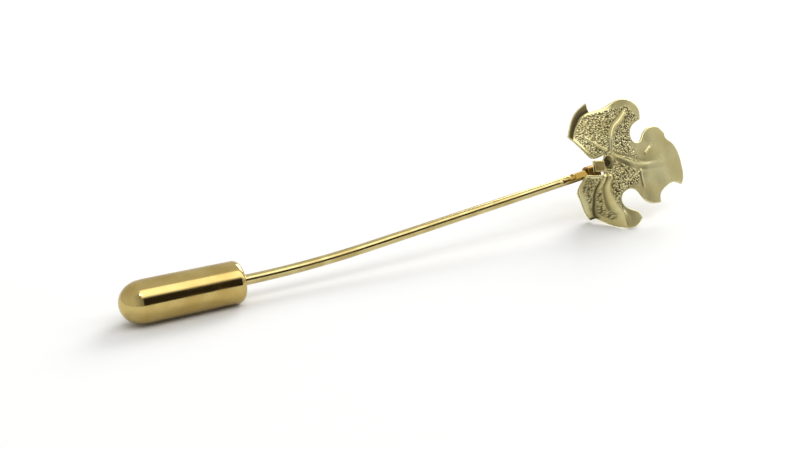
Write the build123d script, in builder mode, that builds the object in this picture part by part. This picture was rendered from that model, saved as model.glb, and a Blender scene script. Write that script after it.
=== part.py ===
from build123d import *
import os
from math import cos, hypot, radians, sin, tanh

os.makedirs("parts", exist_ok=True)

# Gold-tone stick pin lying on a table. All sizes are in millimetres.
# +X runs from the clutch on the point towards the leaf and +Z is up. The origin is on the table,
# below the wire's straight end and halfway along the whole length.

# ---- Clutch, a bullet-shaped barrel on the wire's point ----
CLUTCH_NOSE_X = -33.54
CLUTCH_LENGTH = 11.5
CLUTCH_R = 2.04
CLUTCH_WALL = 0.35
NOSE_LENGTH = 2.0
NOSE_BASE_R = 1.97
SHOULDER_LENGTH = 0.06
REAR_CORNER_R = 0.7
REAR_WALL = 0.4
MOUTH_HOLE_R = 1.1
CAVITY_START = 1.5
CAVITY_NOSE_R = 1.2
CAVITY_NOSE_LENGTH = 0.7
INNER_R = CLUTCH_R - CLUTCH_WALL
FIT_GAP = 0.03
HALFWAY_ROUND = radians(45)
OVERCUT = 0.01

# ---- Bush in the clutch's mouth ----
BUSH_FLANGE_LENGTH = 0.5
BUSH_NECK_R = 1.07
BUSH_NECK_RECESS = 0.05
BUSH_LEAD_IN = 0.12

# ---- Grip collet, its ring and its retaining washer ----
COLLET_R = 1.2
COLLET_WALL = 0.2
COLLET_FLANGE_R = 1.55
COLLET_FLANGE_LENGTH = 0.3
COLLET_TUBE_LENGTH = 5.4
COLLET_SLOT_LENGTH = 4.2
COLLET_SLOT_WIDTH = 0.3
COLLET_SLOTS = 2
SLOT_CUT_WIDTH = 3 * COLLET_R
FINGER_PAD_LENGTH = 0.9
FINGER_PAD_TAPER = 0.6
AXIAL_PLAY = 0.08
RING_WIRE_R = 0.13
RING_FROM_TIP = 0.55
RING_ARC_DEG = 340.0
WASHER_LENGTH = 0.3
WASHER_BORE_R = 1.27

# ---- Moulded stop for the pin's point ----
STOP_LENGTH = 1.6
STOP_HOLE_R = 0.62
STOP_HOLE_DEPTH = 1.1

# ---- Wire stem ----
WIRE_R = 0.51
WIRE_TIP_X = CLUTCH_NOSE_X + 2.35
POINT_LENGTH = 2.4
POINT_FLAT_R = 0.05
POINT_BULGE = 0.68
RUNNING_GAP = 0.04
BEND_START_X = CLUTCH_NOSE_X + CLUTCH_LENGTH
BEND_LENGTH = 13.6
STEM_RISE_DEG = 6.64
STRAIGHT_RUN = 29.9
FLAT_LENGTH = 3.6
FLAT_DEPTH = 0.13
FLAT_TILT_DEG = 38.0

# ---- Leaf, in its own frame: a along the midrib, b across it, n out of its face ----
LEAF_ROLL_DEG = 66.0
LEAF_TURN_DEG = 13.1
LEAF_THICKNESS = 0.5
LEAF_FROM_STEM_END = 1.45
LEAF_IN_FRONT = 1.10
LEAF_ACROSS = 0.138
DOME = 0.006
CREASE_SLOPE = 0.2
CREASE_SOFTNESS = 0.6
CURL_START = 1.2
CURL_SOFTNESS = 0.5
CURL_LOWER = 0.74
CURL_UPPER = 0.08
CURL_LIMIT = 6.0
PIT_CENTRE = (-0.15, 0.3)
PIT_RADII = (0.85, 0.9)
PIT_FLOOR = 0.45
PIT_DEPTH = 0.5
GRID_START = (-6.0, -7.8)
GRID_STEPS = (46, 41)
GRID_STEP = 0.39
SLAB_DEPTH = 12.0
STALK_START = -2.3
STALK_LOW = -0.72
STALK_HIGH = 0.56

# ---- Solder between the wire's end and the stalk ----
SOLDER_R = 0.8
SOLDER_LENGTH = 1.5
SOLDER_PAST_END = 0.15

CLUTCH_AXIS = Plane(origin=(CLUTCH_NOSE_X, 0, CLUTCH_R), x_dir=(1, 0, 0), z_dir=(0, -1, 0))
REAR_INNER_X = CLUTCH_LENGTH - REAR_WALL
BUSH_FRONT_X = REAR_INNER_X - BUSH_FLANGE_LENGTH
COLLET_REAR_X = BUSH_FRONT_X - AXIAL_PLAY
FLANGE_FRONT_X = COLLET_REAR_X - COLLET_FLANGE_LENGTH
WASHER_REAR_X = FLANGE_FRONT_X - AXIAL_PLAY
COLLET_TIP_X = FLANGE_FRONT_X - COLLET_TUBE_LENGTH
TURNING_AXIS = Axis((CLUTCH_NOSE_X, 0, CLUTCH_R), (1, 0, 0))


def smooth_step(value, low, high):
    """Ease from 0 at low to 1 at high."""
    t = min(1.0, max(0.0, (value - low) / (high - low)))
    return t * t * (3 - 2 * t)


def soft_ramp(value, softness):
    """Zero below 0, then a ramp that starts gently."""
    ramp = max(0.0, value)
    return ramp * ramp / (ramp + softness) if ramp > 0 else 0.0


# ---- Clutch shell: drawn tube with a domed nose, a crisp shoulder and a rolled rear corner ----
with BuildPart() as clutch_shell:
    with BuildSketch(CLUTCH_AXIS):
        with BuildLine():
            dome_rise = NOSE_BASE_R * sin(HALFWAY_ROUND)
            dome_back = NOSE_LENGTH * (1 - cos(HALFWAY_ROUND))
            ThreePointArc((0, 0), (dome_back, dome_rise), (NOSE_LENGTH, NOSE_BASE_R))
            Line((NOSE_LENGTH, NOSE_BASE_R), (NOSE_LENGTH + SHOULDER_LENGTH, CLUTCH_R))
            corner_x = CLUTCH_LENGTH - REAR_CORNER_R
            Line((NOSE_LENGTH + SHOULDER_LENGTH, CLUTCH_R), (corner_x, CLUTCH_R))
            corner_mid = REAR_CORNER_R * (1 - cos(HALFWAY_ROUND))
            ThreePointArc(
                (corner_x, CLUTCH_R),
                (CLUTCH_LENGTH - corner_mid, CLUTCH_R - corner_mid),
                (CLUTCH_LENGTH, CLUTCH_R - REAR_CORNER_R),
            )
            Line((CLUTCH_LENGTH, CLUTCH_R - REAR_CORNER_R), (CLUTCH_LENGTH, MOUTH_HOLE_R))
            Line((CLUTCH_LENGTH, MOUTH_HOLE_R), (REAR_INNER_X, MOUTH_HOLE_R))
            Line((REAR_INNER_X, MOUTH_HOLE_R), (REAR_INNER_X, INNER_R))
            Line((REAR_INNER_X, INNER_R), (CAVITY_START + CAVITY_NOSE_LENGTH, INNER_R))
            Line((CAVITY_START + CAVITY_NOSE_LENGTH, INNER_R), (CAVITY_START, CAVITY_NOSE_R))
            Line((CAVITY_START, CAVITY_NOSE_R), (CAVITY_START, 0))
            Line((CAVITY_START, 0), (0, 0))
        make_face()
    revolve(axis=TURNING_AXIS)
clutch_shell.part.label = "clutch_shell"
export_step(clutch_shell.part, "parts/clutch_shell.step")

# ---- Mouth bush: flanged guide held between the rolled rear wall and the collet ----
with BuildPart() as mouth_bush:
    bush_bore = WIRE_R + RUNNING_GAP
    bush_end = CLUTCH_LENGTH - BUSH_NECK_RECESS
    with BuildSketch(CLUTCH_AXIS):
        with BuildLine():
            Polyline(
                (BUSH_FRONT_X, bush_bore),
                (BUSH_FRONT_X, INNER_R - FIT_GAP),
                (REAR_INNER_X, INNER_R - FIT_GAP),
                (REAR_INNER_X, BUSH_NECK_R),
                (bush_end, BUSH_NECK_R),
                (bush_end, bush_bore + BUSH_LEAD_IN),
                (bush_end - BUSH_LEAD_IN, bush_bore),
                close=True,
            )
        make_face()
    revolve(axis=TURNING_AXIS)
mouth_bush.part.label = "mouth_bush"
export_step(mouth_bush.part, "parts/mouth_bush.step")

# ---- Grip collet: flanged tube, slotted into fingers that close on the wire at their tips ----
with BuildPart() as grip_collet:
    pad_bore = WIRE_R + RUNNING_GAP
    collet_bore = COLLET_R - COLLET_WALL
    pad_end = COLLET_TIP_X + FINGER_PAD_LENGTH
    with BuildSketch(CLUTCH_AXIS):
        with BuildLine():
            Polyline(
                (COLLET_TIP_X, pad_bore),
                (COLLET_TIP_X, pad_bore + COLLET_WALL),
                (pad_end, pad_bore + COLLET_WALL),
                (pad_end + FINGER_PAD_TAPER, COLLET_R),
                (FLANGE_FRONT_X, COLLET_R),
                (FLANGE_FRONT_X, COLLET_FLANGE_R),
                (COLLET_REAR_X, COLLET_FLANGE_R),
                (COLLET_REAR_X, collet_bore),
                (pad_end + FINGER_PAD_TAPER, collet_bore),
                (pad_end, pad_bore),
                close=True,
            )
        make_face()
    revolve(axis=TURNING_AXIS)
    slot_x = CLUTCH_NOSE_X + COLLET_TIP_X + COLLET_SLOT_LENGTH / 2
    for slot in range(COLLET_SLOTS):
        slot_angle = slot * 180 / COLLET_SLOTS
        with Locations(Location((slot_x, 0, CLUTCH_R), (slot_angle, 0, 0))):
            Box(COLLET_SLOT_LENGTH, SLOT_CUT_WIDTH, COLLET_SLOT_WIDTH, mode=Mode.SUBTRACT)
grip_collet.part.label = "grip_collet"
export_step(grip_collet.part, "parts/grip_collet.step")

# ---- Grip ring: split wire ring round the fingertips ----
with BuildPart() as grip_ring:
    ring_x = CLUTCH_NOSE_X + COLLET_TIP_X + RING_FROM_TIP
    ring_r = WIRE_R + RUNNING_GAP + COLLET_WALL + RING_WIRE_R
    with BuildSketch(Plane(origin=(ring_x, 0, CLUTCH_R), x_dir=(0, 0, 1), z_dir=(0, -1, 0))):
        with Locations((ring_r, 0)):
            Circle(RING_WIRE_R)
    revolve(axis=TURNING_AXIS, revolution_arc=RING_ARC_DEG)
grip_ring.part.label = "grip_ring"
export_step(grip_ring.part, "parts/grip_ring.step")

# ---- Retaining washer: pressed into the barrel ahead of the collet's flange ----
with BuildPart() as retaining_washer:
    with BuildSketch(CLUTCH_AXIS):
        with BuildLine():
            Polyline(
                (WASHER_REAR_X - WASHER_LENGTH, WASHER_BORE_R),
                (WASHER_REAR_X - WASHER_LENGTH, INNER_R),
                (WASHER_REAR_X, INNER_R),
                (WASHER_REAR_X, WASHER_BORE_R),
                close=True,
            )
        make_face()
    revolve(axis=TURNING_AXIS)
retaining_washer.part.label = "retaining_washer"
export_step(retaining_washer.part, "parts/retaining_washer.step")

# ---- Point stop: moulded plug in the nose with a blind hole for the point ----
with BuildPart() as point_stop:
    stop_end = CAVITY_START + STOP_LENGTH
    with BuildSketch(CLUTCH_AXIS):
        with BuildLine():
            Polyline(
                (CAVITY_START, 0),
                (CAVITY_START, CAVITY_NOSE_R),
                (CAVITY_START + CAVITY_NOSE_LENGTH, INNER_R),
                (stop_end, INNER_R),
                (stop_end, STOP_HOLE_R),
                (stop_end - STOP_HOLE_DEPTH, STOP_HOLE_R),
                (stop_end - STOP_HOLE_DEPTH, 0),
                close=True,
            )
        make_face()
    revolve(axis=TURNING_AXIS)
point_stop.part.label = "point_stop"
export_step(point_stop.part, "parts/point_stop.step")


# ---- Wire path: straight in the clutch, one long gentle bend, then straight to the leaf ----
rise = radians(STEM_RISE_DEG)
bend_radius = BEND_LENGTH / rise
bend_end = (BEND_START_X + bend_radius * sin(rise), CLUTCH_R + bend_radius * (1 - cos(rise)))
stem_end = (bend_end[0] + STRAIGHT_RUN * cos(rise), bend_end[1] + STRAIGHT_RUN * sin(rise))
stem_dir = Vector(cos(rise), 0, sin(rise))
WIRE_PLANE = Plane(origin=(0, 0, 0), x_dir=(1, 0, 0), z_dir=(0, -1, 0))


def wire_path(from_x):
    """Centre line of the wire from from_x to its end."""
    Line((from_x, CLUTCH_R), (BEND_START_X, CLUTCH_R))
    RadiusArc((BEND_START_X, CLUTCH_R), bend_end, -bend_radius)
    Line(bend_end, stem_end)


with BuildPart() as stem:
    with BuildLine(WIRE_PLANE) as centre_line:
        wire_path(WIRE_TIP_X + POINT_LENGTH)
    with BuildSketch(Plane(origin=(WIRE_TIP_X + POINT_LENGTH, 0, CLUTCH_R), z_dir=(1, 0, 0))):
        Circle(WIRE_R)
    sweep(path=centre_line.line)
    with BuildSketch(Plane(origin=(WIRE_TIP_X, 0, CLUTCH_R), x_dir=(1, 0, 0), z_dir=(0, -1, 0))):
        with BuildLine():
            Line((0, 0), (0, POINT_FLAT_R))
            point_mid = (POINT_LENGTH / 2, WIRE_R * POINT_BULGE)
            ThreePointArc((0, POINT_FLAT_R), point_mid, (POINT_LENGTH, WIRE_R))
            Line((POINT_LENGTH, WIRE_R), (POINT_LENGTH, 0))
            Line((POINT_LENGTH, 0), (0, 0))
        make_face()
    revolve(axis=TURNING_AXIS)
    flat_normal = Vector(0, -cos(radians(FLAT_TILT_DEG)), sin(radians(FLAT_TILT_DEG)))
    end_point = Vector(stem_end[0], 0, stem_end[1])
    flat_origin = end_point - stem_dir * (FLAT_LENGTH / 2) + flat_normal * (2 * WIRE_R - FLAT_DEPTH)
    with Locations(Plane(origin=flat_origin, x_dir=stem_dir, z_dir=flat_normal)):
        Box(FLAT_LENGTH + OVERCUT, 4 * WIRE_R, 2 * WIRE_R, mode=Mode.SUBTRACT)
stem.part.label = "stem"
export_step(stem.part, "parts/stem.step")

# ---- Leaf frame: its face is parallel to the wire and lies in front of it ----
roll = radians(LEAF_ROLL_DEG)
turn = radians(LEAF_TURN_DEG)
across = Vector(-sin(rise) * sin(roll), cos(roll), cos(rise) * sin(roll))
face_normal = across.cross(stem_dir) * -1
leaf_a = stem_dir * cos(turn) - across * sin(turn)
leaf_b = across * cos(turn) + stem_dir * sin(turn)
leaf_origin = end_point + stem_dir * LEAF_FROM_STEM_END + face_normal * LEAF_IN_FRONT
leaf_origin += across * LEAF_ACROSS
LEAF_PLANE = Plane(origin=leaf_origin, x_dir=leaf_a, z_dir=face_normal)


def leaf_height(a, b):
    """Height of the leaf's face: gentle dome, lobes curled back behind a crease, pit at the stalk."""
    reach = soft_ramp(abs(b) - CURL_START, CURL_SOFTNESS)
    behind_crease = soft_ramp(CREASE_SLOPE * abs(b) - a, CREASE_SOFTNESS)
    curl_rate = CURL_LOWER if b < 0 else CURL_UPPER
    curl = CURL_LIMIT * tanh(curl_rate * reach * behind_crease / CURL_LIMIT)
    pit_x = (a - PIT_CENTRE[0]) / PIT_RADII[0]
    pit_y = (b - PIT_CENTRE[1]) / PIT_RADII[1]
    pit = PIT_DEPTH * (1 - smooth_step(hypot(pit_x, pit_y), PIT_FLOOR, 1.0))
    return -DOME * max(0.0, a) ** 2 - curl - pit


def face_point(column, row):
    """Point of the leaf's face at one place of its grid."""
    a = GRID_START[0] + column * GRID_STEP
    b = GRID_START[1] + row * GRID_STEP
    return LEAF_PLANE.from_local_coords(Vector(a, b, leaf_height(a, b)))


# Margin of the leaf as smooth stretches between its corners, from the stalk round the upper side.
MARGIN = [
    [(-0.67, 1.20), (-2.36, 0.80), (-3.58, 1.89), (-4.77, 3.42)],
    [(-4.77, 3.42), (-3.92, 5.02), (-2.50, 6.72), (-1.39, 7.47)],
    [(-1.39, 7.47), (-1.47, 6.28)],
    [(-1.47, 6.28), (0.12, 6.68), (1.90, 7.52), (4.03, 7.41), (5.03, 6.52), (5.07, 5.20)],
    [(5.07, 5.20), (3.73, 4.42), (3.36, 3.64), (3.65, 2.75), (4.60, 2.68), (5.36, 3.71), (6.27, 4.34)],
    [(6.27, 4.34), (7.66, 4.40), (8.67, 3.64)],
    [(8.67, 3.64), (8.75, 3.20), (9.45, 2.70), (10.51, 1.56), (11.00, -0.28), (11.03, -1.62), (10.61, -2.43)],
    [(10.61, -2.43), (9.33, -2.18), (8.15, -2.61), (6.89, -3.76), (6.87, -4.52)],
    [(6.87, -4.52), (5.36, -4.54), (4.12, -3.79), (3.40, -2.99), (2.62, -2.78), (1.42, -3.24)],
    [(1.42, -3.24), (1.02, -3.97), (1.65, -4.90), (3.18, -5.48), (3.74, -6.15)],
    [(3.74, -6.15), (3.14, -6.80), (1.60, -7.24), (0.73, -6.85), (0.08, -6.20), (-0.45, -5.68)],
    [(-0.45, -5.68), (-0.75, -5.80)],
    [(-0.75, -5.80), (-1.45, -4.75), (-2.25, -3.58), (-3.06, -2.77)],
    [(-3.06, -2.77), (-3.53, -2.07), (-3.65, -1.24), (-2.32, -1.08), (-0.95, -1.00)],
    [(-0.95, -1.00), (-0.95, STALK_LOW)],
    [(-0.95, STALK_LOW), (STALK_START, STALK_LOW)],
    [(STALK_START, STALK_LOW), (STALK_START, STALK_HIGH)],
    [(STALK_START, STALK_HIGH), (-0.85, STALK_HIGH)],
    [(-0.85, STALK_HIGH), (-0.67, 1.20)],
]

with BuildPart() as leaf:
    grid = [[face_point(c, r) for r in range(GRID_STEPS[1])] for c in range(GRID_STEPS[0])]
    front_face = Face.make_surface_from_array_of_points(grid)
    extrude(to_extrude=front_face, amount=LEAF_THICKNESS, dir=face_normal * -1)
    with BuildSketch(LEAF_PLANE.offset(-SLAB_DEPTH)):
        with BuildLine():
            for stretch in MARGIN:
                if len(stretch) == 2:
                    Line(*stretch)
                else:
                    Spline(*stretch)
        make_face()
    extrude(amount=2 * SLAB_DEPTH, mode=Mode.INTERSECT)
leaf.part.label = "leaf"
export_step(leaf.part, "parts/leaf.step")

# ---- Solder: a bead round the back of the wire, under the stalk ----
with BuildPart() as solder_joint:
    bead_start = end_point - stem_dir * SOLDER_LENGTH
    with BuildSketch(Plane(origin=bead_start, z_dir=stem_dir)):
        Circle(SOLDER_R)
    extrude(amount=SOLDER_LENGTH + SOLDER_PAST_END)
    with BuildSketch(LEAF_PLANE.offset(-LEAF_THICKNESS)):
        Rectangle(4 * SLAB_DEPTH, 4 * SLAB_DEPTH)
    extrude(amount=-SLAB_DEPTH, mode=Mode.INTERSECT)
    add(leaf.part, mode=Mode.SUBTRACT)
    add(stem.part, mode=Mode.SUBTRACT)
solder_joint.part.label = "solder_joint"
export_step(solder_joint.part, "parts/solder_joint.step")
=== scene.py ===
from math import cos, pi, radians, sin, sqrt

import bpy
import numpy as np
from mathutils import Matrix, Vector, noise
from mathutils.geometry import delaunay_2d_cdt


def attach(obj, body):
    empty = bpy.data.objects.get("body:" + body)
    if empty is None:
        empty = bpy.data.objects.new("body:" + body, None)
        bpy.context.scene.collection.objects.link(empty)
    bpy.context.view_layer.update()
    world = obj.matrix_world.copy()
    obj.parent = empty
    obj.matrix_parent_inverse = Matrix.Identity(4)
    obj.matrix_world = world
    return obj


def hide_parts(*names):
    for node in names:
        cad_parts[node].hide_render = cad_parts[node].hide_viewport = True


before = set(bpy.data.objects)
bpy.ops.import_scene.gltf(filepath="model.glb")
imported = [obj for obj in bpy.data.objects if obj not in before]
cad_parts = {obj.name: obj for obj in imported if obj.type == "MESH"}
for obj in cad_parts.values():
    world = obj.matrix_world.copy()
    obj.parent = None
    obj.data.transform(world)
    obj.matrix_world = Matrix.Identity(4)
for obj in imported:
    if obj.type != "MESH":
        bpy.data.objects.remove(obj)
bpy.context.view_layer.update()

# Gold-tone stick pin with a bullet clutch and a curled, textured leaf. Shapes are worked out in
# millimetres in the frame of the CAD part and turned to metres when a mesh is made.
MM = 0.001

# ---- Clutch ----
NOSE_X = -33.54
CLUTCH_LENGTH = 11.5
CLUTCH_R = 2.04
CLUTCH_WALL = 0.35
NOSE_LENGTH = 2.0
NOSE_BASE_R = 1.97
# The shoulder between nose and barrel is eased over a longer stretch than the CAD part's.
SHOULDER_START = 1.2
SHOULDER_END = 2.7
REAR_CORNER_R = 0.7
REAR_WALL = 0.4
MOUTH_R = 1.1
MOUTH_LIP_R = 0.08
CAVITY_START = 1.5
CAVITY_NOSE_R = 1.2
CAVITY_NOSE_LENGTH = 0.7
# Small first angles and radius, so that no ring of the lathe shrinks to one point or repeats another.
NOSE_FIRST_TURN = 0.02
CORNER_FIRST_TURN = 0.08
INNER_END_R = 0.02
LATHE_STEPS = 256
DOME_RINGS = 26
SHOULDER_RINGS = 12
BARREL_RINGS = 41
CORNER_RINGS = 16
LIP_RINGS = 6
# Unevenness of the drawn tube: height, the inset that keeps it in size, and scales along and round it.
UNEVEN_HEIGHT = 0.006
UNEVEN_INSET = 0.004
UNEVEN_ALONG = 0.5
UNEVEN_ROUND = 0.9

# ---- Wire ----
WIRE_R = 0.51
TIP_X = NOSE_X + 2.35
POINT_LENGTH = 2.4
POINT_R = 0.05
POINT_BULGE = 0.36
BEND_START_X = NOSE_X + CLUTCH_LENGTH
BEND_LENGTH = 13.6
RISE = radians(6.64)
STRAIGHT_RUN = 29.9
FLAT_LENGTH = 3.6
FLAT_DEPTH = 0.13
FLAT_TILT = radians(38)
FLAT_RUN_OUT = 0.5
MARK_SHARPNESS = 6
END_EDGE = 0.05
END_REACH = 0.02
END_SCALE = 0.93
WIRE_STEPS = 64
POINT_STATION = 0.1
WIRE_STATION = 0.3
FINE_STATION = 0.06
FINE_LENGTH = 8.0
# Painted darker reflection at the wire's leaf end: its length, and the stretch over which it fades out.
DARK_REFLECTION_LENGTH = 5.4
DARK_REFLECTION_FADE = 1.4

# ---- Leaf, in its own frame: a along the midrib, b across it, n out of its face ----
LEAF_ROLL = radians(66)
LEAF_TURN = radians(13.1)
LEAF_FROM_STEM_END = 1.45
LEAF_IN_FRONT = 1.10
LEAF_ACROSS = 0.138
LEAF_THICKNESS = 0.5
BACK_LIFT = 0.02
BACK_EDGE_LIFT = 0.6
BACK_EDGE_WIDTH = 0.15
FACE_SINK = 0.1
PIT_DEPTH = 0.5
PIT_CENTRE = (-0.15, 0.3)
PIT_HALF = (0.85, 0.9)
PIT_FLOOR = 0.45
EDGE_R = 0.1
# Bend of the sheet: flat near the midrib, curled back behind a crease, more below than above.
MIDRIB_DROOP = 0.006
FLAT_HALF = 1.2
FLAT_SOFT = 0.5
CREASE_SLOPE = 0.2
CREASE_SOFT = 0.6
LOWER_CURL = 0.74
UPPER_CURL = 0.08
CURL_LIMIT = 6.0
WAVE_HEIGHT = 0.05
WAVE_SCALE = 0.55
WAVE_LAYER = 9.0
MARGIN_STEP = 0.07
MARGIN_INSET = 0.015
RIM_DEPTHS = (0.03, 0.08)
RIM_KEEP = 0.9
INNER_CLEAR = 0.12
FACE_STEP = 0.055
BACK_STEP = 0.22
STALK_START = -2.3
STALK_LOW = -0.72
STALK_HIGH = 0.56
STALK_FADE = (-0.98, -0.84)
STALK_CLEAR = 0.1
# Stipple: size and height of a grain, its radius in cells, how far cells wander and how grains differ.
GRAIN_SIZE = 0.205
GRAIN_HEIGHT = 0.062
GRAIN_R = 0.62
GRAIN_DROP = 0.5
GRAIN_BASE = 0.7
GRAIN_SPREAD = 0.6
GRAIN_SPREAD_SCALE = 3.1
GRAIN_LAYER = 0.5
WANDER = 0.3
WANDER_SCALE = 1.7
WANDER_LAYER = 4.0
LEAST_STIPPLE = 0.02
VEIN_CLEARS_STIPPLE = 1.3
# Fold of the curled strip: slope, softness, greatest depth, and the share of it that shows behind.
FOLD_SLOPE = 0.85
FOLD_SOFT = 0.1
FOLD_LIMIT = 0.24
BACK_FOLD = 0.3
STRIP_END = (-1.6, -1.2)
STRIP_LOW = 2.6
STRIP_SPACING = 0.2
LINE_SPACING = 0.15
# Darkening, from 0 for clean metal to 1 for dark: patina between the stippled grains and in the grooves, and
# painted shade on the lower lobe's tooth, the curled strip and the pit.
STIPPLE_TARNISH = 0.88
STIPPLE_TARNISH_POWER = 1.5
GROOVE_TARNISH = 6
TOOTH_SHADE = 0.95
STRIP_SHADE = 0.96
PIT_SHADE = 0.93
TOOTH = (-0.6, -5.7)
TOOTH_REACH = (0.15, 0.45)
# Distances over which things fade in from the margin or from their own edge.
RELIEF_FROM_EDGE = (0.1, 0.35)
STIPPLE_FROM_EDGE = (0.2, 0.4)
STIPPLE_END_FADE = (-0.3, 0.15)
STIPPLE_TOP_FADE = (-0.1, 0.1)
STIPPLE_TOP_START = -2.2
STIPPLE_TIP_FADE = (-0.1, 0.2)
STIPPLE_TIP_START = -3.3
STIPPLE_STRIP_FADE = (0.0, 0.12)
STRIP_SHADE_FADE = (0.0, 0.14)
STRIP_FROM_EDGE = (0.02, 0.12)

# Triangulation: the whole hull is filled, and what lies outside the outline is left out afterwards.
WHOLE_HULL = 0
MERGE_DISTANCE = 1e-7

# Margin of the leaf as smooth stretches between its corners, from the stalk round the upper side.
MARGIN = [
    [(-0.67, 1.20), (-2.36, 0.80), (-3.58, 1.89), (-4.77, 3.42)],
    [(-4.77, 3.42), (-3.92, 5.02), (-2.50, 6.72), (-1.39, 7.47)],
    [(-1.39, 7.47), (-1.47, 6.28)],
    [(-1.47, 6.28), (0.12, 6.68), (1.90, 7.52), (4.03, 7.41), (5.03, 6.52), (5.07, 5.20)],
    [(5.07, 5.20), (3.73, 4.42), (3.36, 3.64), (3.65, 2.75), (4.60, 2.68), (5.36, 3.71), (6.27, 4.34)],
    [(6.27, 4.34), (7.66, 4.40), (8.67, 3.64)],
    [(8.67, 3.64), (8.75, 3.20), (9.45, 2.70), (10.51, 1.56), (11.00, -0.28), (11.03, -1.62), (10.61, -2.43)],
    [(10.61, -2.43), (9.33, -2.18), (8.15, -2.61), (6.89, -3.76), (6.87, -4.52)],
    [(6.87, -4.52), (5.36, -4.54), (4.12, -3.79), (3.40, -2.99), (2.62, -2.78), (1.42, -3.24)],
    [(1.42, -3.24), (1.02, -3.97), (1.65, -4.90), (3.18, -5.48), (3.74, -6.15)],
    [(3.74, -6.15), (3.14, -6.80), (1.60, -7.24), (0.73, -6.85), (0.08, -6.20), (-0.45, -5.68)],
    [(-0.45, -5.68), (-0.75, -5.80)],
    [(-0.75, -5.80), (-1.45, -4.75), (-2.25, -3.58), (-3.06, -2.77)],
    [(-3.06, -2.77), (-3.53, -2.07), (-3.65, -1.24), (-2.32, -1.08), (-0.95, -1.00)],
    [(-0.95, -1.00), (-0.95, STALK_LOW)],
    [(-0.95, STALK_LOW), (STALK_START, STALK_LOW)],
    [(STALK_START, STALK_LOW), (STALK_START, STALK_HIGH)],
    [(STALK_START, STALK_HIGH), (-0.85, STALK_HIGH)],
    [(-0.85, STALK_HIGH), (-0.67, 1.20)],
]

# Ridges and grooves pressed into the face: route, half width, height or depth, length of the tapered end.
VEINS = [
    ([(0.27, 1.49), (0.54, 3.32), (1.13, 4.47), (2.12, 5.28), (3.03, 6.44)], 0.25, 0.15, 0.9),
    ([(-0.39, 1.74), (-1.28, 2.11), (-2.09, 2.60), (-2.67, 3.10), (-2.86, 3.71)], 0.15, 0.13, 0.8),
    ([(-0.31, -1.31), (-0.52, -2.30), (-0.18, -3.38), (0.13, -4.18), (0.55, -5.08), (1.42, -6.10)],
     0.26, 0.15, 0.9),
    ([(-0.97, -1.22), (-1.16, -2.05), (-1.37, -2.72), (-1.79, -3.24)], 0.15, 0.12, 0.6),
    ([(0.36, 1.14), (1.97, 0.42), (4.34, -0.17), (6.44, -0.02), (8.42, 0.25)], 0.30, 0.022, 1.5),
    ([(5.25, 1.29), (6.16, 2.10)], 0.13, 0.05, 0.3),
    ([(4.25, -0.68), (4.25, -1.61), (4.45, -2.77)], 0.13, 0.05, 0.3),
]
GROOVES = [
    ([(-1.43, -1.93), (-1.52, -2.61), (-1.20, -3.64), (-0.87, -4.71), (-0.51, -5.60)], 0.15, 0.16, 0.1),
    ([(0.02, 1.55), (0.26, 3.42), (0.86, 4.66), (1.84, 5.50), (2.76, 6.50)], 0.12, 0.08, 0.5),
    ([(-0.62, -1.36), (-0.84, -2.34), (-0.50, -3.50), (-0.18, -4.34), (0.22, -5.26)], 0.13, 0.12, 0.3),
    ([(1.0, 1.22), (2.30, 0.98), (4.40, 0.42), (6.50, 0.62), (7.6, 1.5)], 0.24, 0.022, 2.5),
    ([(0.9, 0.55), (2.10, 0.02), (4.30, -0.55), (6.50, -0.36), (8.6, -0.2)], 0.24, 0.022, 2.5),
]
CURLED_STRIP = [(-4.45, 2.75), (-3.90, 3.86), (-3.22, 4.86), (-2.70, 5.50), (-2.18, 5.90), (-1.42, 6.25)]
# Where the stippled field ends: a for each b towards the terminal lobe, b for each a under the top
# margin of the upper lobe, and a for each b before the tip of the lower lobe.
STIPPLE_END = [(-2.9, 3.9), (-2.6, 2.83), (-2.4, 3.6), (-0.67, 4.17), (0.49, 4.2), (1.66, 3.48), (2.6, 2.74),
               (2.9, 5.2)]
STIPPLE_TOP = [(-2.06, 5.85), (-0.43, 6.08), (1.71, 6.44), (3.23, 6.79), (3.76, 6.33), (4.52, 5.4),
               (5.0, 4.9)]
STIPPLE_TIP = [(-6.76, 0.54), (-5.72, 0.57), (-4.68, 0.73), (-3.59, 1.51), (-3.3, 4.0)]


# ---- Shared helpers ----
def smooth_step(value, low, high):
    """Ease from 0 at low to 1 at high."""
    t = np.clip((value - low) / (high - low), 0.0, 1.0)
    return t * t * (3 - 2 * t)


def soft_ramp(value, softness):
    """Zero below 0, then a ramp that starts gently."""
    ramp = np.maximum(0.0, value)
    return ramp * ramp / (ramp + softness)


def smooth_line(points, spacing):
    """Natural cubic spline through the points, sampled about every spacing."""
    points = np.array(points, float)
    steps = np.diff(points, axis=0)
    gaps = np.hypot(steps[:, 0], steps[:, 1])
    along = np.concatenate([[0.0], np.cumsum(gaps)])
    count = len(points)
    system = np.eye(count)
    right = np.zeros((count, 2))
    for i in range(1, count - 1):
        system[i, i - 1:i + 2] = gaps[i - 1], 2 * (gaps[i - 1] + gaps[i]), gaps[i]
        right[i] = 6 * (steps[i] / gaps[i] - steps[i - 1] / gaps[i - 1])
    bend = np.linalg.solve(system, right)
    where = np.linspace(0, along[-1], max(2, int(round(along[-1] / spacing)) + 1))
    span = np.clip(np.searchsorted(along, where, side="right") - 1, 0, count - 2)
    gap = gaps[span][:, None]
    before = (where - along[span])[:, None]
    after = gap - before
    straight = points[span] * after / gap + points[span + 1] * before / gap
    return (
        straight
        + bend[span] * (after ** 3 / gap - gap * after) / 6
        + bend[span + 1] * (before ** 3 / gap - gap * before) / 6
    )


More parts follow.
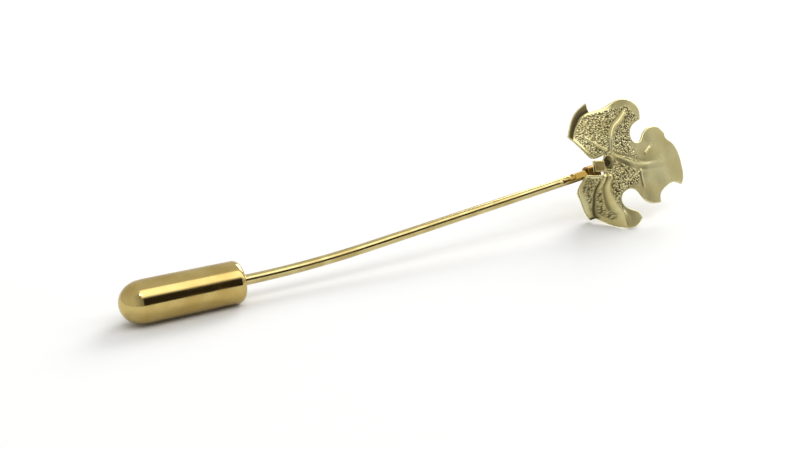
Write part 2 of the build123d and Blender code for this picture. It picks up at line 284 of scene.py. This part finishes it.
def line_distance(points, line):
    """Distance from each point to a line of short pieces, and its side of it: +1 left, -1 right."""
    best = np.full(len(points), 1e9)
    side = np.ones(len(points))
    for start, end in zip(line[:-1], line[1:]):
        step = end - start
        offset = points - start
        t = np.clip((offset @ step) / (step @ step), 0.0, 1.0)
        gap = offset - t[:, None] * step
        distance = np.hypot(gap[:, 0], gap[:, 1])
        closer = distance < best
        best[closer] = distance[closer]
        side[closer] = np.sign(step[0] * offset[closer, 1] - step[1] * offset[closer, 0])
    return best, side


def inside_outline(points, outline):
    """True for each point inside the closed outline."""
    inside = np.zeros(len(points), bool)
    a, b = points[:, 0], points[:, 1]
    for start, end in zip(outline, np.roll(outline, -1, axis=0)):
        if start[1] == end[1]:
            continue
        crosses = (start[1] > b) != (end[1] > b)
        inside ^= crosses & (a < start[0] + (b - start[1]) * (end[0] - start[0]) / (end[1] - start[1]))
    return inside


def make_piece(name, points, faces, body, node, material, values=None):
    """Mesh piece from points in millimetres, riding on body in place of its CAD node."""
    mesh = bpy.data.meshes.new(name)
    mesh.from_pydata([tuple(p) for p in np.asarray(points) * MM], [], faces)
    mesh.validate()
    mesh.polygons.foreach_set("use_smooth", [True] * len(mesh.polygons))
    for key, numbers in (values or {}).items():
        attribute = mesh.attributes.new(key, "FLOAT", "POINT")
        attribute.data.foreach_set("value", np.asarray(numbers, np.float32))
    mesh.update()
    piece = bpy.data.objects.new(name, mesh)
    bpy.context.scene.collection.objects.link(piece)
    mesh.materials.append(material)
    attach(piece, body)
    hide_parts(node)


def tube_faces(rings, steps):
    """Quads between neighbouring rings of points, and a face that closes each end."""
    faces = []
    for ring in range(rings - 1):
        following = ring + 1
        for step in range(steps):
            beside = (step + 1) % steps
            faces.append((ring * steps + step, ring * steps + beside,
                          following * steps + beside, following * steps + step))
    faces.append(tuple(range(steps)))
    faces.append(tuple(reversed(range((rings - 1) * steps, rings * steps))))
    return faces


# ---- Materials ----
COLOUR_CLOUDS = (0.35, 0.65)
GLOSS_CLOUDS = (0.3, 0.7)
SCRATCH_DETAIL = 6.0
SCRATCH_HEIGHT = 0.02
CLOUD_DETAIL = 4.0
EVEN = (1, 1, 1)


def connect(tree, socket, value):
    """Link a socket to another socket, or give it a value."""
    if isinstance(value, bpy.types.NodeSocket):
        tree.links.new(value, socket)
    else:
        socket.default_value = value


def add_node(tree, kind, settings=None, **inputs):
    """New node, with its settings, and its inputs named with _ for a space."""
    made = tree.nodes.new(kind)
    for key, value in (settings or {}).items():
        setattr(made, key, value)
    for key, value in inputs.items():
        connect(tree, made.inputs[key.replace("_", " ")], value)
    return made


def mix_colour(tree, factor, first, second):
    """Colour between first and second."""
    made = add_node(tree, "ShaderNodeMix", {"data_type": "RGBA"}, Factor=factor)
    connect(tree, made.inputs[6], first)
    connect(tree, made.inputs[7], second)
    return made.outputs[2]


def product(tree, first, second):
    """Two values multiplied."""
    made = add_node(tree, "ShaderNodeMath", {"operation": "MULTIPLY"})
    connect(tree, made.inputs[0], first)
    connect(tree, made.inputs[1], second)
    return made.outputs[0]


def remap(tree, value, low, high, to_low, to_high):
    """Value eased from one range to another."""
    settings = {"interpolation_type": "SMOOTHSTEP"}
    made = add_node(tree, "ShaderNodeMapRange", settings, Value=value, From_Min=low, From_Max=high,
                    To_Min=to_low, To_Max=to_high)
    return made.outputs["Result"]


def stretched_noise(tree, scale, stretch, detail=CLOUD_DETAIL):
    """Noise over the object's own coordinates, with a stretch along each axis."""
    place = add_node(tree, "ShaderNodeTexCoord").outputs["Object"]
    mapped = add_node(tree, "ShaderNodeMapping", Vector=place, Scale=stretch).outputs["Vector"]
    return add_node(tree, "ShaderNodeTexNoise", Vector=mapped, Scale=scale, Detail=detail).outputs["Fac"]


def finish(name, light, deep, roughness, cloud_scale, scratch_scale, scratch_stretch, scratch_depth,
           metallic=1.0, spots=()):
    """Material with cloudy colour and gloss and fine scratches. Each spot is a point attribute of the
    mesh and the colour that it turns the surface to."""
    material = bpy.data.materials.new(name)
    material.use_nodes = True
    tree = material.node_tree
    shader = tree.nodes["Principled BSDF"]
    shader.inputs["Metallic"].default_value = metallic
    clouds = stretched_noise(tree, cloud_scale, EVEN)
    scratches = stretched_noise(tree, scratch_scale, scratch_stretch, SCRATCH_DETAIL)
    colour = mix_colour(tree, remap(tree, clouds, *COLOUR_CLOUDS, 0.0, 1.0), (*light, 1), (*deep, 1))
    for attribute, spot_colour in spots:
        amount = add_node(tree, "ShaderNodeAttribute", {"attribute_name": attribute}).outputs["Fac"]
        colour = mix_colour(tree, amount, colour, (*spot_colour, 1))
    connect(tree, shader.inputs["Base Color"], colour)
    connect(tree, shader.inputs["Roughness"], remap(tree, clouds, *GLOSS_CLOUDS, *roughness))
    bump = add_node(tree, "ShaderNodeBump", Strength=scratch_depth, Distance=SCRATCH_HEIGHT * MM,
                    Height=scratches)
    connect(tree, shader.inputs["Normal"], bump.outputs["Normal"])
    return material


CLUTCH_GOLD = finish("clutch_gold", (0.56, 0.43, 0.16), (0.47, 0.34, 0.11), (0.08, 0.17), 420,
                     2600, (0.12, 1, 1), 0.10)
SOLDER = finish("solder", (0.30, 0.18, 0.035), (0.22, 0.13, 0.025), (0.28, 0.5), 1400,
                4200, EVEN, 0.5)
SPRING_BRONZE = finish("spring_bronze", (0.66, 0.43, 0.22), (0.50, 0.30, 0.14), (0.2, 0.36), 900,
                       5000, (0.08, 1, 1), 0.3)
WASHER_STEEL = finish("washer_steel", (0.62, 0.62, 0.63), (0.48, 0.48, 0.50), (0.2, 0.34), 900,
                      4200, EVEN, 0.3)
STOP_NYLON = finish("stop_nylon", (0.86, 0.84, 0.77), (0.80, 0.77, 0.69), (0.42, 0.56), 700,
                    3200, EVEN, 0.25, metallic=0.0)
# Drawn gold wire, with a painted darker reflection: a deeper gold painted over its last few millimetres by
# the leaf, where its filed flat lies.
WIRE_GOLD = finish("wire_gold", (0.62, 0.52, 0.24), (0.48, 0.38, 0.15), (0.13, 0.26), 500,
                   5200, (0.05, 1, 1), 0.25, spots=[("painted_dark_reflection", (0.25, 0.16, 0.036))])
# Pale gold, deeper on the stalk, and dark with patina in the grooves and between the stippled grains, with
# painted shade on the curled strip, the lower lobe's tooth and the pit by the stalk.
LEAF_METAL = finish("leaf_metal", (0.76, 0.69, 0.37), (0.62, 0.54, 0.25), (0.22, 0.36), 380,
                    9000, EVEN, 0.22,
                    spots=[("stalk", (0.66, 0.52, 0.20)), ("patina_and_shade", (0.05, 0.036, 0.016))])


# ---- Clutch shell: a lathed profile, closed on itself ----
def dome_radius(x):
    """Radius of the domed nose at x from its tip."""
    return NOSE_BASE_R * sqrt(1 - max(0.0, 1 - x / NOSE_LENGTH) ** 2)


def clutch_profile():
    """Closed profile of the shell as (distance from the nose, radius), outside first."""
    corner_x = CLUTCH_LENGTH - REAR_CORNER_R
    corner_r = CLUTCH_R - REAR_CORNER_R
    dome_turns = np.linspace(NOSE_FIRST_TURN, np.arccos(1 - SHOULDER_START / NOSE_LENGTH), DOME_RINGS)
    dome = [(NOSE_LENGTH * (1 - cos(t)), NOSE_BASE_R * sin(t)) for t in dome_turns]
    shoulder = []
    for x in np.linspace(SHOULDER_START, SHOULDER_END, SHOULDER_RINGS)[1:]:
        rise = float(smooth_step(x, SHOULDER_START, SHOULDER_END))
        shoulder.append((x, dome_radius(x) * (1 - rise) + CLUTCH_R * rise))
    barrel = [(x, CLUTCH_R) for x in np.linspace(SHOULDER_END, corner_x, BARREL_RINGS)[1:]]
    corner = [(corner_x + REAR_CORNER_R * sin(t), corner_r + REAR_CORNER_R * cos(t))
              for t in np.linspace(CORNER_FIRST_TURN, pi / 2, CORNER_RINGS)]
    lip = [(CLUTCH_LENGTH - MOUTH_LIP_R * (1 - cos(t)), MOUTH_R + MOUTH_LIP_R * (1 - sin(t)))
           for t in np.linspace(0, pi / 2, LIP_RINGS)]
    inner_r = CLUTCH_R - CLUTCH_WALL
    cavity = [
        (CLUTCH_LENGTH - REAR_WALL, MOUTH_R),
        (CLUTCH_LENGTH - REAR_WALL, inner_r),
        (CAVITY_START + CAVITY_NOSE_LENGTH, inner_r),
        (CAVITY_START, CAVITY_NOSE_R),
        (CAVITY_START, INNER_END_R),
    ]
    return dome + shoulder + barrel + corner + lip + cavity


def build_clutch_shell():
    """The shell, with the faint unevenness of a drawn and polished tube."""
    points = []
    profile = clutch_profile()
    for x, r in profile:
        for step in range(LATHE_STEPS):
            angle = 2 * pi * step / LATHE_STEPS
            place = Vector((x * UNEVEN_ALONG, cos(angle) * UNEVEN_ROUND, sin(angle) * UNEVEN_ROUND))
            uneven = UNEVEN_HEIGHT * noise.noise(place)
            radius = r - UNEVEN_INSET + uneven if r > MOUTH_R else r
            points.append((NOSE_X + x, radius * cos(angle), CLUTCH_R + radius * sin(angle)))
    faces = tube_faces(len(profile), LATHE_STEPS)
    make_piece("clutch_shell_turned", points, faces, "barrel", "clutch_shell", CLUTCH_GOLD)


# ---- Wire: round drawn wire with a ground point, a filed flat and pliers marks by the leaf ----
bend_radius = BEND_LENGTH / RISE
straight_end = BEND_START_X - TIP_X
bend_end = Vector((BEND_START_X + bend_radius * sin(RISE), 0, CLUTCH_R + bend_radius * (1 - cos(RISE))))
stem_dir = Vector((cos(RISE), 0, sin(RISE)))
stem_end = bend_end + stem_dir * STRAIGHT_RUN
WIRE_LENGTH = straight_end + BEND_LENGTH + STRAIGHT_RUN
# Pliers marks: distance back from the wire's end, angle round it, depth, half length.
PLIERS_MARKS = [(3.8, 55, 0.13, 0.34), (5.1, 30, 0.10, 0.45)]


def wire_place(s):
    """Point on the wire's centre line and its slope, at s from the tip."""
    if s <= straight_end:
        return Vector((TIP_X + s, 0, CLUTCH_R)), 0.0
    if s <= straight_end + BEND_LENGTH:
        slope = (s - straight_end) / bend_radius
        x = BEND_START_X + bend_radius * sin(slope)
        return Vector((x, 0, CLUTCH_R + bend_radius * (1 - cos(slope)))), slope
    return bend_end + stem_dir * (s - straight_end - BEND_LENGTH), RISE


def wire_radius(s):
    """Radius at s from the tip: ground to a fine point, full afterwards."""
    t = min(1.0, s / POINT_LENGTH)
    return POINT_R + (WIRE_R - POINT_R) * ((1 + POINT_BULGE) * t - POINT_BULGE * t * t)


def build_stem():
    """The wire as rings of points along its centre line."""
    fine = np.arange(WIRE_LENGTH - FINE_LENGTH, WIRE_LENGTH, FINE_STATION)
    stations = np.concatenate([
        np.arange(0, POINT_LENGTH, POINT_STATION),
        np.arange(POINT_LENGTH, fine[0], WIRE_STATION),
        fine,
        [WIRE_LENGTH - END_EDGE, WIRE_LENGTH],
    ])
    points = []
    for s in stations:
        centre, slope = wire_place(s)
        up = Vector((-sin(slope), 0, cos(slope)))
        from_end = WIRE_LENGTH - s
        radius = wire_radius(s) * (END_SCALE if from_end < END_REACH else 1.0)
        flat = FLAT_DEPTH * float(1 - smooth_step(from_end, FLAT_LENGTH - FLAT_RUN_OUT, FLAT_LENGTH))
        for step in range(WIRE_STEPS):
            angle = 2 * pi * step / WIRE_STEPS
            reach = radius
            facing = cos(angle - FLAT_TILT)
            if flat > 0 and facing > 0:
                reach = min(reach, (WIRE_R - flat) / facing)
            for back, turn, depth, half in PLIERS_MARKS:
                round_it = max(0.0, cos(angle - radians(turn)))
                reach -= depth * round_it ** MARK_SHARPNESS * max(0.0, 1 - abs(from_end - back) / half)
            out = Vector((0, -cos(angle), 0)) + up * sin(angle)
            points.append(centre + out * reach)
    faces = tube_faces(len(stations), WIRE_STEPS)
    from_ends = np.repeat(WIRE_LENGTH - stations, WIRE_STEPS)
    # Painted darker reflection: 1 over the wire's last millimetres by the leaf, fading to 0 further back.
    dark_reflection = 1 - smooth_step(from_ends, DARK_REFLECTION_LENGTH - DARK_REFLECTION_FADE, DARK_REFLECTION_LENGTH)
    make_piece("stem_wire", points, faces, "pin", "stem", WIRE_GOLD, {"painted_dark_reflection": dark_reflection})


# ---- Leaf ----
across = Vector((-sin(RISE) * sin(LEAF_ROLL), cos(LEAF_ROLL), cos(RISE) * sin(LEAF_ROLL)))
face_normal = -across.cross(stem_dir)
leaf_a = stem_dir * cos(LEAF_TURN) - across * sin(LEAF_TURN)
leaf_b = across * cos(LEAF_TURN) + stem_dir * sin(LEAF_TURN)
leaf_origin = stem_end + stem_dir * LEAF_FROM_STEM_END + face_normal * LEAF_IN_FRONT + across * LEAF_ACROSS


def pit_weight(a, b):
    """1 in the pit beside the stalk, 0 outside it."""
    reach = np.hypot((a - PIT_CENTRE[0]) / PIT_HALF[0], (b - PIT_CENTRE[1]) / PIT_HALF[1])
    return 1 - smooth_step(reach, PIT_FLOOR, 1.0)


def sheet_height(a, b):
    """Height of the bent sheet, without what is pressed into its face."""
    reach = soft_ramp(np.abs(b) - FLAT_HALF, FLAT_SOFT)
    behind_crease = soft_ramp(CREASE_SLOPE * np.abs(b) - a, CREASE_SOFT)
    rate = np.where(b < 0, LOWER_CURL, UPPER_CURL)
    curl = CURL_LIMIT * np.tanh(rate * reach * behind_crease / CURL_LIMIT)
    return -MIDRIB_DROOP * np.maximum(0.0, a) ** 2 - curl


def strip_fold(points):
    """How far each point lies beyond the fold of the upper lobe's curled strip."""
    distance, side = line_distance(points, smooth_line(CURLED_STRIP, STRIP_SPACING))
    near = 1 - smooth_step(points[:, 0], *STRIP_END)
    return np.where((side > 0) & (points[:, 1] > STRIP_LOW), distance, 0.0) * near


def fold_depth(points):
    """How far the curled strip is folded back, within the room that the CAD part leaves."""
    return FOLD_LIMIT * np.tanh(FOLD_SLOPE * soft_ramp(strip_fold(points), FOLD_SOFT) / FOLD_LIMIT)


def on_stalk(a, b):
    """1 on the flat stalk, 0 off it."""
    beside = (b > STALK_LOW - STALK_CLEAR) * (b < STALK_HIGH + STALK_CLEAR)
    return (1 - smooth_step(a, *STALK_FADE)) * beside


def stipple_mask(points, edge):
    """1 where the face is stippled and 0 where it is smooth."""
    a, b = points[:, 0], points[:, 1]
    end_b, end_a = np.array(STIPPLE_END).T
    top_a, top_b = np.array(STIPPLE_TOP).T
    tip_b, tip_a = np.array(STIPPLE_TIP).T
    past_end = smooth_step(a - np.interp(b, end_b, end_a), *STIPPLE_END_FADE)
    past_top = smooth_step(b - np.interp(a, top_a, top_b), *STIPPLE_TOP_FADE) * (a > STIPPLE_TOP_START)
    before_tip = 1 - smooth_step(a - np.interp(b, tip_b, tip_a), *STIPPLE_TIP_FADE)
    mask = smooth_step(edge, *STIPPLE_FROM_EDGE) * (1 - past_end) * (1 - past_top)
    mask = mask * np.where(b < STIPPLE_TIP_START, before_tip, 1.0)
    mask = mask * (1 - smooth_step(strip_fold(points), *STIPPLE_STRIP_FADE))
    return mask * (1 - pit_weight(a, b)) * (1 - on_stalk(a, b))


def line_shape(points, route, width, taper):
    """1 on a pressed line and 0 beside it, tapering to nothing at the line's far end."""
    across_line = np.exp(-(line_distance(points, smooth_line(route, LINE_SPACING))[0] / width) ** 2)
    to_end = np.hypot(points[:, 0] - route[-1][0], points[:, 1] - route[-1][1])
    return across_line * smooth_step(to_end, 0.0, taper)


def pressed_relief(points, edge):
    """Height of the veins, grooves and stipple, and how tarnished each point is."""
    height = np.zeros(len(points))
    patina_and_shade = np.zeros(len(points))
    mask = stipple_mask(points, edge)
    fade = smooth_step(edge, *RELIEF_FROM_EDGE)
    for route, width, rise, taper in VEINS:
        shape = line_shape(points, route, width, taper)
        height += rise * shape * fade
        mask = mask * (1 - np.minimum(1.0, VEIN_CLEARS_STIPPLE * shape))
    for route, width, depth, taper in GROOVES:
        shape = line_shape(points, route, width, taper)
        height -= depth * shape * fade
        mask = mask * (1 - shape)
        patina_and_shade = np.maximum(patina_and_shade, GROOVE_TARNISH * depth * shape)
    for i in np.nonzero(mask > LEAST_STIPPLE)[0]:
        a, b = points[i]
        wander = WANDER * noise.noise(Vector((a * WANDER_SCALE, b * WANDER_SCALE, WANDER_LAYER)))
        cell = Vector((a / GRAIN_SIZE + wander, b / GRAIN_SIZE - wander, GRAIN_LAYER))
        distances, centres = noise.voronoi(cell)
        size = GRAIN_SPREAD + GRAIN_SPREAD * noise.noise(centres[0] * GRAIN_SPREAD_SCALE)
        grain = max(0.0, 1 - (distances[0] / GRAIN_R) ** 2)
        height[i] += mask[i] * GRAIN_HEIGHT * (grain * (GRAIN_BASE + size) - GRAIN_DROP)
        stain = STIPPLE_TARNISH * mask[i] * (1 - grain) ** STIPPLE_TARNISH_POWER
        patina_and_shade[i] = max(patina_and_shade[i], stain)
    return height, patina_and_shade


def face_height(points, edge):
    """Height of the finished face, and how dark each point is: patina in the grooves and between the grains,
    and painted shade on the lower lobe's tooth, the curled strip and the pit.
    """
    a, b = points[:, 0], points[:, 1]
    relief, patina_and_shade = pressed_relief(points, edge)
    pit = pit_weight(a, b)
    stalk = on_stalk(a, b)
    wave = np.array([noise.noise(Vector((p[0] * WAVE_SCALE, p[1] * WAVE_SCALE, WAVE_LAYER))) for p in points])
    rounding = EDGE_R - np.sqrt(np.maximum(0.0, EDGE_R ** 2 - np.maximum(0.0, EDGE_R - edge) ** 2))
    height = sheet_height(a, b) - FACE_SINK * (1 - stalk) + relief * (1 - stalk) * (1 - pit)
    height += WAVE_HEIGHT * wave * (1 - stalk) - PIT_DEPTH * pit - fold_depth(points) - rounding
    # Painted shade on the tooth of the lower lobe, where the lobe curls back.
    tooth = TOOTH_SHADE * (1 - smooth_step(np.hypot(a - TOOTH[0], b - TOOTH[1]), *TOOTH_REACH))
    # Painted shade over the curled strip of the upper lobe, fading in from its fold and leaving its very
    # margin clean.
    on_strip = smooth_step(strip_fold(points), *STRIP_SHADE_FADE) * smooth_step(edge, *STRIP_FROM_EDGE)
    darkest = np.maximum.reduce([patina_and_shade, STRIP_SHADE * on_strip, tooth])
    # Painted shade in the pit beside the stalk, which also reaches onto the stalk; the rest of the darkening
    # stays off the stalk.
    return height, np.maximum(darkest * (1 - stalk), PIT_SHADE * pit)


def hex_grid(low, high, step):
    """Points of a hexagonal grid over a box."""
    points = []
    for row, b in enumerate(np.arange(low[1], high[1], step * sqrt(3) / 2)):
        shift = step / 2 if row % 2 else 0.0
        points.extend((a + shift, b) for a in np.arange(low[0], high[0], step))
    return np.array(points)


def fill_outline(outline, inner):
    """Triangles inside the outline, over its points followed by the inner points."""
    count = len(outline)
    points = [Vector(p) for p in np.vstack([outline, inner])]
    edges = [(i, (i + 1) % count) for i in range(count)]
    made, _, faces, kept, _, _ = delaunay_2d_cdt(points, edges, [], WHOLE_HULL, MERGE_DISTANCE, True)
    flat = np.array([(p[0], p[1]) for p in made])
    centres = np.array([flat[list(face)].mean(axis=0) for face in faces])
    order = [ids[0] for ids in kept]
    return [tuple(order[i] for i in face)
            for face, inside in zip(faces, inside_outline(centres, outline)) if inside]


def leaf_point(a, b, n):
    """Point of the leaf frame in the part's frame."""
    return leaf_origin + leaf_a * float(a) + leaf_b * float(b) + face_normal * float(n)


def inward_directions(outline):
    """Direction into the leaf at each point of its outline, which runs clockwise."""
    tangent = np.roll(outline, -1, axis=0) - np.roll(outline, 1, axis=0)
    tangent /= np.hypot(tangent[:, 0], tangent[:, 1])[:, None]
    return np.stack([tangent[:, 1], -tangent[:, 0]], axis=1)


def build_leaf():
    """The leaf: a pressed face, a plain back and a wall round its margin."""
    stretches = [smooth_line(stretch, MARGIN_STEP)[:-1] for stretch in MARGIN]
    outline = np.vstack(stretches)
    outline = outline + MARGIN_INSET * inward_directions(outline)
    loop = np.vstack([outline, outline[:1]])
    low, high = outline.min(0), outline.max(0)

    def inner_points(step):
        grid = hex_grid(low, high, step)
        grid = grid[inside_outline(grid, outline)]
        return grid[line_distance(grid, loop)[0] > INNER_CLEAR]

    inward = inward_directions(outline)
    rim = np.vstack([outline + inward * depth for depth in RIM_DEPTHS])
    depths = np.repeat(RIM_DEPTHS, len(outline))
    keep = inside_outline(rim, outline) & (line_distance(rim, loop)[0] > RIM_KEEP * depths)
    front_inner = np.vstack([rim[keep], inner_points(FACE_STEP)])
    back_inner = inner_points(BACK_STEP)

    front = np.vstack([outline, front_inner])
    edge = np.concatenate([np.zeros(len(outline)), line_distance(front_inner, loop)[0]])
    heights, patina_and_shade = face_height(front, edge)
    back = np.vstack([outline, back_inner])
    back_heights = sheet_height(back[:, 0], back[:, 1]) - LEAF_THICKNESS + BACK_LIFT
    back_heights -= BACK_FOLD * fold_depth(back) + PIT_DEPTH * pit_weight(back[:, 0], back[:, 1])
    back_edge = np.concatenate([np.zeros(len(outline)), line_distance(back_inner, loop)[0]])
    back_heights += EDGE_R * BACK_EDGE_LIFT * (1 - smooth_step(back_edge, 0.0, BACK_EDGE_WIDTH))

    points = [leaf_point(*p, n) for p, n in zip(front, heights)]
    points += [leaf_point(*p, n) for p, n in zip(back, back_heights)]
    faces = fill_outline(outline, front_inner)
    shift = len(front)
    faces += [tuple(shift + i for i in reversed(face)) for face in fill_outline(outline, back_inner)]
    count = len(outline)
    for i in range(count):
        beside = (i + 1) % count
        faces.append((beside, i, shift + i, shift + beside))
    values = {
        # Patina, and painted shade on the tooth, the curled strip and the pit.
        "patina_and_shade": np.concatenate([patina_and_shade, np.zeros(len(back))]),
        "stalk": np.concatenate([on_stalk(front[:, 0], front[:, 1]), np.zeros(len(back))]),
    }
    make_piece("leaf_pressed", points, faces, "pin", "leaf", LEAF_METAL, values)


# ---- Solder: the bead of the CAD part, melted soft ----
SOLDER_VOXEL = 0.06
SOLDER_SMOOTHING = 6


def build_solder():
    """Bead of solder: the CAD part's mesh, remeshed finely and smoothed."""
    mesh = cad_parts["solder_joint"].data.copy()
    piece = bpy.data.objects.new("solder_bead", mesh)
    bpy.context.scene.collection.objects.link(piece)
    remesh = piece.modifiers.new("remesh", "REMESH")
    remesh.mode = "VOXEL"
    remesh.voxel_size = SOLDER_VOXEL * MM
    remesh.use_smooth_shade = True
    smooth = piece.modifiers.new("smooth", "SMOOTH")
    smooth.iterations = SOLDER_SMOOTHING
    mesh.materials.clear()
    mesh.materials.append(SOLDER)
    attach(piece, "pin")
    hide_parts("solder_joint")


# ---- Stage ----
CAMERA_PLACE = Vector((-53.84, -81.57, 37.69))
CAMERA_HEADING = radians(31.065)
CAMERA_DIP = radians(19.21)
CAMERA_LENS = 44.88
NEAREST = 0.001
FLOOR_HALF = 3.0
PAPER_LIGHT = (0.78, 0.78, 0.77)
PAPER_DEEP = (0.76, 0.76, 0.75)
PAPER_FIBRES = 600
PAPER_ROUGHNESS = 0.9
PAPER_SPECULAR = 0.1
# Brightness of the room: behind and above the object, in front of it, in the dark band on its front
# side, beyond that band's right end, and in the lit band above it.
ROOM_BEHIND = 0.76
ROOM_AHEAD = 0.36
ROOM_DARK = (0.035, 0.027, 0.022)
WINDOW = 0.62
HIGHLIGHT = 2.2


def build_camera():
    """Camera as in the photo: above and to the left of the clutch, looking along the pin."""
    level = Vector((sin(CAMERA_HEADING), cos(CAMERA_HEADING), 0))
    aim = level * cos(CAMERA_DIP) - Vector((0, 0, 1)) * sin(CAMERA_DIP)
    camera = bpy.data.objects.new("camera", bpy.data.cameras.new("camera"))
    camera.data.lens = CAMERA_LENS
    camera.data.clip_start = NEAREST
    camera.location = CAMERA_PLACE * MM
    camera.rotation_euler = aim.to_track_quat("-Z", "Y").to_euler()
    bpy.context.scene.collection.objects.link(camera)
    bpy.context.scene.camera = camera


def build_floor():
    """White paper floor."""
    mesh = bpy.data.meshes.new("floor")
    corners = [(x * FLOOR_HALF, y * FLOOR_HALF, 0) for x, y in ((-1, -1), (1, -1), (1, 1), (-1, 1))]
    mesh.from_pydata(corners, [], [(0, 1, 2, 3)])
    floor = bpy.data.objects.new("floor", mesh)
    bpy.context.scene.collection.objects.link(floor)
    material = bpy.data.materials.new("paper")
    material.use_nodes = True
    tree = material.node_tree
    shader = tree.nodes["Principled BSDF"]
    fibres = stretched_noise(tree, PAPER_FIBRES, EVEN)
    connect(tree, shader.inputs["Base Color"], mix_colour(tree, fibres, (*PAPER_LIGHT, 1), (*PAPER_DEEP, 1)))
    shader.inputs["Roughness"].default_value = PAPER_ROUGHNESS
    shader.inputs["Specular IOR Level"].default_value = PAPER_SPECULAR
    mesh.materials.append(material)


def add_light(name, place, size, power):
    """Soft square light, placed in millimetres and aimed at the object."""
    data = bpy.data.lights.new(name, "AREA")
    data.shape = "SQUARE"
    data.size = size * MM
    data.energy = power
    light = bpy.data.objects.new(name, data)
    light.location = Vector(place) * MM
    light.rotation_euler = (-Vector(place)).to_track_quat("-Z", "Y").to_euler()
    bpy.context.scene.collection.objects.link(light)


# Where the room's parts begin and end: by slope (height over distance in front), by distance in
# front, and by distance to the right, each along a direction of length 1.
LIT_BAND_STARTS = (0.70, 1.25)
LIT_BAND_ENDS = (3.0, 12.0)
DARK_BAND_ENDS = (0.62, 1.10)
IN_FRONT = (0.02, 0.12)
DIM_IN_FRONT = (0.15, 0.5)
DIM_FROM_LEFT = (-0.8, -0.2)
DARK_FROM_LEFT = (-0.16, -0.06)
DARK_TO_RIGHT = (0.56, 0.66)
LIT_FROM_LEFT = (-0.28, -0.10)
WINDOW_FROM_LEFT = (0.60, 0.70)
RISING = (0.0, 1.0)
FALLING = (1.0, 0.0)


def grey(brightness):
    """Grey colour of a brightness."""
    return (brightness, brightness, brightness, 1)


def build_world():
    """White room, bright above and behind, with a dark band and a lit band above it on its front side."""
    world = bpy.data.worlds.new("room")
    bpy.context.scene.world = world
    world.use_nodes = True
    tree = world.node_tree
    direction = add_node(tree, "ShaderNodeTexCoord").outputs["Generated"]
    parts = add_node(tree, "ShaderNodeSeparateXYZ", Vector=direction)
    right = parts.outputs["X"]
    front = product(tree, parts.outputs["Y"], -1.0)
    divided = add_node(tree, "ShaderNodeMath", {"operation": "DIVIDE"})
    connect(tree, divided.inputs[0], parts.outputs["Z"])
    connect(tree, divided.inputs[1], front)
    slope = divided.outputs[0]

    in_front = remap(tree, front, *IN_FRONT, *RISING)
    dark_across = product(tree, remap(tree, right, *DARK_FROM_LEFT, *RISING),
                          remap(tree, right, *DARK_TO_RIGHT, *FALLING))
    dark_low = product(tree, in_front, remap(tree, slope, *DARK_BAND_ENDS, *FALLING))
    dark_band = product(tree, dark_low, dark_across)
    lit_up = product(tree, remap(tree, slope, *LIT_BAND_STARTS, *RISING),
                     remap(tree, slope, *LIT_BAND_ENDS, *FALLING))
    lit_across = product(tree, in_front, remap(tree, right, *LIT_FROM_LEFT, *RISING))
    lit_band = product(tree, lit_across, lit_up)
    window = product(tree, in_front, remap(tree, right, *WINDOW_FROM_LEFT, *RISING))
    dim = product(tree, remap(tree, front, *DIM_IN_FRONT, *RISING),
                  remap(tree, right, *DIM_FROM_LEFT, *RISING))

    colour = mix_colour(tree, dim, grey(ROOM_BEHIND), grey(ROOM_AHEAD))
    colour = mix_colour(tree, window, colour, grey(WINDOW))
    colour = mix_colour(tree, dark_band, colour, (*ROOM_DARK, 1))
    colour = mix_colour(tree, lit_band, colour, grey(HIGHLIGHT))
    background = tree.nodes["Background"]
    connect(tree, background.inputs["Color"], colour)
    background.inputs["Strength"].default_value = 1.0


build_camera()
build_floor()
build_world()
add_light("key_softbox", (520, 330, 400), 400, 3.6)
add_light("nose_lamp", (-150, -270, 516), 110, 0.25)

build_clutch_shell()
build_stem()
build_leaf()
build_solder()

CARRIED_OVER = {
    "mouth_bush": CLUTCH_GOLD,
    "grip_collet": SPRING_BRONZE,
    "grip_ring": WASHER_STEEL,
    "retaining_washer": WASHER_STEEL,
    "point_stop": STOP_NYLON,
}
for node, material in CARRIED_OVER.items():
    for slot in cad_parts[node].material_slots:
        slot.material = material

bpy.context.scene.view_settings.view_transform = "Standard"
